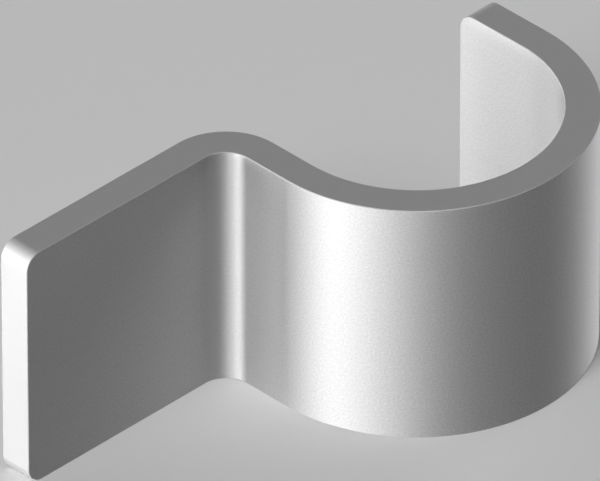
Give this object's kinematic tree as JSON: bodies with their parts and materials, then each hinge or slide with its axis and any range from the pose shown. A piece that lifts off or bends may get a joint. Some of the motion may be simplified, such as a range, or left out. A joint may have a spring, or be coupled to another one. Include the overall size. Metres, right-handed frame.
{
  "type": "cable clip",
  "caption": "Folded steel strip with a flat mounting tab, a square bend and a half-round saddle ending in a short lip, for holding a cable or pipe against a surface.",
  "frame": {"origin": "on the axis of the held cable, which is the centre of the saddle's half circle, at the lower cut edge of the strip", "axes": "+Z along the cable's axis, across the strip's width, and up as the clip stands on its lower cut edge; +Y out of the saddle's mouth, towards the surface that the tab is fixed to; -X from the cable along the flat tab"},
  "size_m": [0.035, 0.0166, 0.015],
  "materials": {
    "plated_steel": "satin, plated"
  },
  "bodies": {
    "root": {"clip_strip": "plated_steel"}
  },
  "joints": []
}
